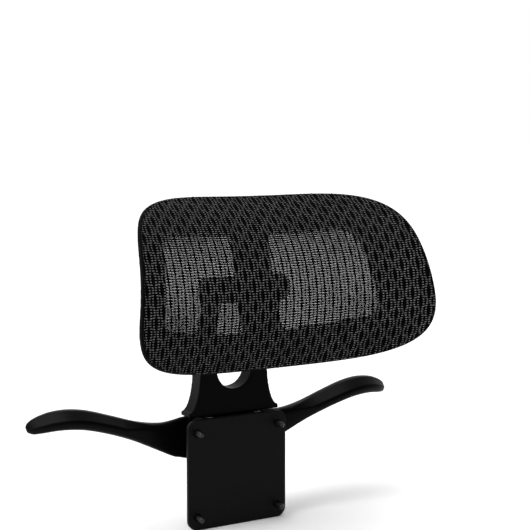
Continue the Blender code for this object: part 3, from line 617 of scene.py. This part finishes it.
def prism(outline, base, cap, axis=1):
    """A flat outline, given across the axis, extruded from low to high along it."""
    points = []
    for level in (base, cap):
        for u, v in outline:
            point = [u, v]
            point.insert(axis, level)
            points.append(point)
    n = len(outline)
    faces = [list(range(n - 1, -1, -1)), list(range(n, 2 * n))]
    faces += [(i, (i + 1) % n, (i + 1) % n + n, i + n) for i in range(n)]
    made = new_object("tool", points, faces, FRAME_NYLON, smooth=False)
    face_outwards(made)
    return made


def rounded_outline(corners, radii, steps=12):
    """A polygon with each corner replaced by an arc of its own radius."""
    outline = []
    for index, here in enumerate(Vector(c) for c in corners):
        before = (Vector(corners[index - 1]) - here).normalized()
        after = (Vector(corners[(index + 1) % len(corners)]) - here).normalized()
        half, radius = before.angle(after) / 2, radii[index]
        centre = here + (before + after).normalized() * radius / math.sin(half)
        start = here + before * radius / math.tan(half) - centre
        end = here + after * radius / math.tan(half) - centre
        first = math.atan2(start.y, start.x)
        sweep = (math.atan2(end.y, end.x) - first + math.pi) % (2 * math.pi) - math.pi
        for step in range(steps + 1):
            angle = first + sweep * step / steps
            u, v = math.cos(angle), math.sin(angle)
            outline.append((centre.x + radius * u, centre.y + radius * v))
    return outline


PLATE_HALF_WIDTH, PLATE_HALF_HEIGHT = 0.166, 0.094
FRAME_VOXEL, FRAME_ROUNDS = 0.00110, 4


def frame_plate():
    """The dished shell as a fine closed sheet, larger than the pad."""
    columns, rows = 150, 84
    across = np.linspace(-PLATE_HALF_WIDTH, PLATE_HALF_WIDTH, columns)
    up = np.linspace(-PLATE_HALF_HEIGHT, PLATE_HALF_HEIGHT, rows)
    x, z = np.meshgrid(across, up, indexing="ij")
    front = np.stack([x, frame_y(x, z), z], axis=-1).reshape(-1, 3)
    back = front - normals(frame_y, x, z).reshape(-1, 3) * SHELL
    faces = []
    count = columns * rows
    for i in range(columns - 1):
        for j in range(rows - 1):
            a, b = i * rows + j, (i + 1) * rows + j
            c, d = b + 1, a + 1
            faces += [(a, b, c, d), (a + count, d + count, c + count, b + count)]
    rim = [i * rows for i in range(columns)] + [(columns - 1) * rows + j for j in range(1, rows)]
    rim += [i * rows + rows - 1 for i in range(columns - 2, -1, -1)] + list(range(rows - 2, 0, -1))
    for index, here in enumerate(rim):
        ahead = rim[(index + 1) % len(rim)]
        faces.append((here, here + count, ahead + count, ahead))
    return new_object("frame_shell", np.concatenate([front, back]), faces, FRAME_NYLON)


def make_frame():
    x, z = outline_loop(240)
    ox, oz = outward(x, z)
    outline = list(zip((x - ox * FRAME_INSET).tolist(), (z - oz * FRAME_INSET).tolist()))
    steps = [("INTERSECT", prism(outline, -0.2, 0.06))]
    for side in (-1, 1):
        window = rounded_outline([(side * u, v) for u, v in WINDOW], WINDOW_RADII)
        steps.append(("DIFFERENCE", prism(window, -0.2, 0.05)))
    foot, head = (height - PAD_MIDDLE_Z for height in SPINE_Z)
    wide = SPINE_HALF_WIDTH
    spine = [(-wide, foot), (wide, foot), (wide, head), (-wide, head)]
    steps.append(("UNION", prism(spine, SPINE_FRONT_Y - SPINE_PROUD, SPINE_FRONT_Y + SPINE_DEPTH)))
    made = combined(frame_plate(), *steps)
    softened(made, FRAME_VOXEL, FRAME_ROUNDS)
    made.data.transform(PAD)
    return made


frame_shell = make_frame()
for piece, node in ((hoop, "mesh_hoop"), (frame_shell, "pad_frame")):
    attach(piece, "pad")
    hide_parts(node)


# ---------------------------------------------------------------- other mouldings
def moulding(name, node, voxel, rounds):
    """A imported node's shape with softened edges, in the node's own place."""
    source = NODES[node]
    made = new_object(name, [(0, 0, 0), (1, 0, 0), (0, 1, 0)], [(0, 1, 2)], FINISH[SLOT_OF[node]])
    made.data = source.data.copy()
    made.matrix_world = source.matrix_world.copy()
    softened(made, voxel, rounds)
    made.data.materials.clear()
    made.data.materials.append(FINISH[SLOT_OF[node]])
    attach(made, source["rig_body"])
    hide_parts(node)
    return made


def spline(values, amount):
    """Catmull-Rom through rows of values, at fractional row numbers."""
    values = np.concatenate([2 * values[:1] - values[1:2], values, 2 * values[-1:] - values[-2:-1]])
    row = np.minimum(amount.astype(int), len(values) - 4)
    t = (amount - row)[:, None]
    a, b, c, d = (values[row + k] for k in range(4))
    square, cube = 2 * a - 5 * b + 4 * c - d, 3 * b - a - 3 * c + d
    return 0.5 * (2 * b + (c - a) * t + square * t**2 + cube * t**3)


# Stations of the hanger's right half: x, y, z, half depth, half height
HANGER_PLATE_HALF = 0.049
HANGER_STATIONS = [
    (0.000, 0.0354, 0.0290, 0.0040, 0.0220),
    (0.030, 0.0354, 0.0300, 0.0040, 0.0220),
    (0.048, 0.0356, 0.0310, 0.0046, 0.0200),
    (0.070, 0.0358, 0.0350, 0.0068, 0.0135),
    (0.095, 0.0350, 0.0430, 0.0095, 0.0095),
    (0.120, 0.0335, 0.0520, 0.0115, 0.0087),
    (0.145, 0.0325, 0.0598, 0.0125, 0.0090),
    (0.163, 0.0332, 0.0627, 0.0122, 0.0092),
    (0.178, 0.0352, 0.0624, 0.0112, 0.0088),
    (0.190, 0.0380, 0.0600, 0.0095, 0.0078),
    (0.199, 0.0405, 0.0572, 0.0065, 0.0060),
    (0.203, 0.0420, 0.0552, 0.0026, 0.0028),
]
HANGER_RINGS, HANGER_SIDES = 260, 48
SQUARENESS = 0.62               # 1 is an ellipse, less is squarer
BEVEL_START, BEVEL_STEP = 1.9, 0.85
ARM_START_X, ARM_BLEND = 0.070, 0.040
SINK_X, SINK_Z, SINK_RADIUS = (-0.034, 0.034), (0.020, 0.042), 0.0036
SINK_Y = (0.0366, 0.045)
HANGER_VOXEL, HANGER_ROUNDS = 0.0007, 3


def make_hanger():
    """The coat hanger: a plate that turns into two arms with a bevelled top front edge."""
    left = [(-x, *rest) for x, *rest in HANGER_STATIONS[:0:-1]]
    stations = np.array(left + HANGER_STATIONS)
    x, y, z, depth, height = spline(stations, np.linspace(0, len(stations) - 1, HANGER_RINGS)).T
    around = HANGER_SIDES
    turn = 2 * math.pi * (np.arange(around) + 0.5) / around
    centre = np.stack([x, y, z], axis=-1)
    along = np.gradient(centre, axis=0)
    along[np.abs(x) < HANGER_PLATE_HALF] = (1, 0, 0)
    along /= np.linalg.norm(along, axis=1, keepdims=True)
    across = np.array([0, 1, 0]) - along * along[:, 1:2]
    across /= np.linalg.norm(across, axis=1, keepdims=True)
    upwards = np.cross(along, across)
    u = np.sign(np.cos(turn)) * np.abs(np.cos(turn)) ** SQUARENESS * np.ones((len(x), 1))
    v = np.sign(np.sin(turn)) * np.abs(np.sin(turn)) ** SQUARENESS * np.ones((len(x), 1))
    arm_share = np.clip((np.abs(x) - ARM_START_X) / ARM_BLEND, 0, 1)[:, None]
    over = np.maximum(v - u - (BEVEL_START - BEVEL_STEP * arm_share), 0) * 0.5
    v, u = v - over, u + over
    rings = centre[:, None] + across[:, None] * (u * depth[:, None])[..., None]
    rings = rings + upwards[:, None] * (v * height[:, None])[..., None]
    faces = []
    for i in range(len(x) - 1):
        for k in range(around):
            m = (k + 1) % around
            here, ahead = i * around, (i + 1) * around
            faces.append((here + k, here + m, ahead + m, ahead + k))
    last = (len(x) - 1) * around
    faces += [list(range(around - 1, -1, -1)), list(range(last, last + around))]
    made = new_object("hanger_bar", rings.reshape(-1, 3), faces, HANGER_NYLON)
    face_outwards(made)
    sinks = []
    for at_x in SINK_X:
        for at_z in SINK_Z:
            ring = [
                (at_x + SINK_RADIUS * math.cos(a), at_z + SINK_RADIUS * math.sin(a))
                for a in np.arange(32) * math.pi / 16
            ]
            sinks.append(("DIFFERENCE", prism(ring, *SINK_Y)))
    combined(made, *sinks)
    softened(made, HANGER_VOXEL, HANGER_ROUNDS)
    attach(made, "bracket")
    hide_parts("coat_hanger")


make_hanger()
# Name of the piece, its node, size of its voxels, rounds of smoothing
for row in (
    ("arm_yoke", "yoke", 0.0008, 6), ("bracket_body", "mount_bracket", 0.0008, 4),
    ("cover_plate", "rear_cover", 0.0006, 4), ("knuckle_block", "hinge_block", 0.0006, 5),
    ("left_cap", "end_cap_left", 0.0004, 10), ("right_cap", "end_cap_right", 0.0004, 10),
):
    moulding(*row)

# ---------------------------------------------------------------- screws, bolts and washers
def lathe(name, profile, sides, closed, material):
    """Turns (radius, height) pairs about +Z. A closed profile makes a ring, an open one a solid."""
    turn = 2 * math.pi * np.arange(sides) / sides
    body = profile if closed else profile[1:-1]
    points = [(r * math.cos(a), r * math.sin(a), h) for r, h in body for a in turn]
    faces = []
    for i in range(len(body) if closed else len(body) - 1):
        j = (i + 1) % len(body)
        for k in range(sides):
            m = (k + 1) % sides
            faces.append((i * sides + k, j * sides + k, j * sides + m, i * sides + m))
    if not closed:
        last = (len(body) - 1) * sides
        faces += [list(range(sides)), list(range(last + sides - 1, last - 1, -1))]
    return new_object(name, points, faces, material)


def axis_frame(node, towards):
    """World points of a turned node as (height, radius), with the matrix of its own axis."""
    mesh = node.data
    points = np.array([node.matrix_world @ v.co for v in mesh.vertices])
    middle = points.mean(axis=0)
    values, vectors = np.linalg.eigh(np.cov((points - middle).T))
    gaps = np.diff(values)
    axis = vectors[:, 2] if gaps[1] > gaps[0] else vectors[:, 0]
    height = (points - middle) @ axis
    radius = np.linalg.norm(points - middle - height[:, None] * axis, axis=1)
    if towards == "head" and height[radius > 0.9 * radius.max()].mean() < 0:
        axis, height = -axis, -height
    turn = Vector((0, 0, 1)).rotation_difference(Vector(axis)).to_matrix().to_4x4()
    return height, radius, Matrix.Translation(middle) @ turn


SCREW_SIDES, RING_SIDES = 40, 56
DRIVE_DEPTH = 0.62              # of the head's height
CROSS = (0.62, 0.13)            # half length and half width of a slot, of the head's radius
TOOL_OVERRUN = 0.01


def cross_recess(radius, top, depth):
    arms = []
    for u, v in (CROSS, CROSS[::-1]):
        u, v = u * radius, v * radius
        slot = [(-u, -v), (u, -v), (u, v), (-u, v)]
        arms.append(("DIFFERENCE", prism(slot, top - depth, top + TOOL_OVERRUN, 2)))
    return arms


def hex_recess(radius, top, depth):
    half = 0.5 * radius
    ring = [(half * math.cos(a), half * math.sin(a)) for a in np.arange(6) * math.pi / 3]
    return [("DIFFERENCE", prism(ring, top - depth, top + TOOL_OVERRUN, 2))]


def make_screw(node_name):
    node = NODES[node_name]
    height, radius, place = axis_frame(node, "head")
    head, top = radius.max(), height.max()
    under = height[radius > 0.9 * head].min()
    bottom = height.min()
    shank = radius[(height < bottom + 1e-5) & (radius > 1e-4)].mean()
    head_height = top - under
    is_bolt = node_name.startswith("mount_bolt")
    material = BLACK_STEEL if is_bolt else FINISH[SLOT_OF[node_name]]
    if is_bolt:
        crown = [(0.0, top), (head * 0.86, top), (head * 0.96, top - head_height * 0.08),
                 (head, top - head_height * 0.2)]
    else:
        crown = [
            (0.0, top), (head * 0.4, top - head_height * 0.02),
            (head * 0.68, top - head_height * 0.12), (head * 0.88, top - head_height * 0.34),
            (head * 0.98, top - head_height * 0.66),
        ]
    stem = [(head, under + head_height * 0.08), (head * 0.97, under), (shank, under),
            (shank, bottom + shank * 0.5), (shank * 0.6, bottom), (0.0, bottom)]
    made = lathe(node_name + "_turned", crown + stem, SCREW_SIDES, False, material)
    recess = hex_recess if is_bolt else cross_recess
    combined(made, *recess(head, top, head_height * DRIVE_DEPTH))
    made.data.transform(place)
    made.data.shade_smooth()
    made.data.set_sharp_from_angle(angle=math.radians(40))
    return made


def make_ring(node_name):
    node = NODES[node_name]
    height, radius, place = axis_frame(node, "any")
    inner, outer = radius.min(), radius.max()
    base, cap = height.min(), height.max()
    edge = (cap - base) * 0.25
    made = lathe(node_name + "_ring", [
        (outer, base + edge), (outer - edge, base), (inner + edge, base), (inner, base + edge),
        (inner, cap - edge), (inner + edge, cap), (outer - edge, cap), (outer, cap - edge),
    ], RING_SIDES, True, FINISH[SLOT_OF[node_name]])
    made.data.transform(place)
    made.data.set_sharp_from_angle(angle=math.radians(50))
    return made


for name in sorted(NODES):
    if "screw" in name or name.startswith("mount_bolt"):
        made = make_screw(name)
    elif name.startswith(("bolt_washer", "friction_washer")):
        made = make_ring(name)
    else:
        continue
    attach(made, NODES[name]["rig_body"])
    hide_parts(name)

# ---------------------------------------------------------------- floor, light and camera
FLOOR_SHADE_Y, FRONT_FLOOR_SHADE = (-0.55, -0.20), 0.52   # painted shade: the floor's colour dims in front of the object
FLOOR_HALF, FLOOR_Z = 20, cad_low.z
LIGHT_FADE_Y = (-0.35, 0.55)    # of the direction looked in


def set_range(node, source, target):
    """Sets what a map range node reads, low and high, and what it gives."""
    for side, values in (("From", source), ("To", target)):
        for end, value in zip((" Min", " Max"), values):
            node.inputs[side + end].default_value = value


floor_mat, floor_tree, floor_shader = new_material("floor_paper")
floor_noise = add(floor_tree, "ShaderNodeTexNoise", Scale=9.0, Detail=3.0)
floor_tint = ramp(floor_tree, floor_noise.outputs["Fac"], 0.2, 0.8, [0.90] * 3, [0.94] * 3)
floor_place = add(floor_tree, "ShaderNodeTexCoord").outputs["Object"]
floor_split = add(floor_tree, "ShaderNodeSeparateXYZ")
floor_tree.links.new(floor_place, floor_split.inputs["Vector"])
# painted shade: the floor's base colour darkens towards the front, so less light bounces up onto
# the object's undersides
floor_painted_shade = add(floor_tree, "ShaderNodeMapRange", interpolation_type="SMOOTHSTEP")
set_range(floor_painted_shade, FLOOR_SHADE_Y, (FRONT_FLOOR_SHADE, 1.0))
floor_tree.links.new(floor_split.outputs["Y"], floor_painted_shade.inputs["Value"])
floor_mix = add(floor_tree, "ShaderNodeVectorMath", operation="SCALE")
floor_tree.links.new(floor_tint, floor_mix.inputs[0])
floor_tree.links.new(floor_painted_shade.outputs["Result"], floor_mix.inputs["Scale"])
floor_tree.links.new(floor_mix.outputs["Vector"], floor_shader.inputs["Base Color"])
floor_shader.inputs["Roughness"].default_value = 0.9
corners = [(-1, -1), (1, -1), (1, 1), (-1, 1)]
floor = new_object(
    "floor", [(u * FLOOR_HALF, v * FLOOR_HALF, FLOOR_Z) for u, v in corners],
    [(0, 1, 2, 3)], floor_mat, smooth=False,
)

# White behind the object and dim in front of it, so that the black mouldings stay black
BACK_LIGHT, FRONT_LIGHT = 1.0, 0.22
world = bpy.data.worlds.new("studio")
world.use_nodes = True
tree = world.node_tree
direction = add(tree, "ShaderNodeTexCoord").outputs["Generated"]
split = add(tree, "ShaderNodeSeparateXYZ")
tree.links.new(direction, split.inputs["Vector"])
fade = add(tree, "ShaderNodeMapRange", interpolation_type="SMOOTHSTEP")
set_range(fade, LIGHT_FADE_Y, (FRONT_LIGHT, BACK_LIGHT))
tree.links.new(split.outputs["Y"], fade.inputs["Value"])
tree.links.new(fade.outputs["Result"], tree.nodes["Background"].inputs["Strength"])
tree.nodes["Background"].inputs["Color"].default_value = (1, 1, 1, 1)
bpy.context.scene.world = world
bpy.context.scene.view_settings.view_transform = "Standard"


def lamp(kind, name, place, aim, power, **settings):
    data = bpy.data.lights.new(name, kind)
    data.energy = power
    for key, value in settings.items():
        setattr(data, key, value)
    made = bpy.data.objects.new(name, data)
    made.location = place
    made.rotation_euler = (Vector(aim) - Vector(place)).to_track_quat("-Z", "Y").to_euler()
    bpy.context.scene.collection.objects.link(made)
    return made


lamp("SUN", "overhead", (-0.5, -0.3, 2.0), (0, 0, 0), 2.6, angle=math.radians(50))
lamp("AREA", "key", (-1.3, -0.5, 1.0), (0, 0, 0.15), 9, shape="RECTANGLE", size=0.8, size_y=1.2)

CAMERA_PLACE, CAMERA_LENS, SENSOR = (-0.5924, -1.0792, 0.3340), 86.26, 36.0
CAMERA_DIP, CAMERA_TURN = 6.03, -30      # degrees below level, and about the vertical

camera_data = bpy.data.cameras.new("camera")
camera_data.lens = CAMERA_LENS
camera_data.sensor_width = SENSOR
camera = bpy.data.objects.new("camera", camera_data)
camera.location = CAMERA_PLACE
camera.rotation_euler = (math.radians(90 - CAMERA_DIP), 0.0, math.radians(CAMERA_TURN))
bpy.context.scene.collection.objects.link(camera)
bpy.context.scene.camera = camera
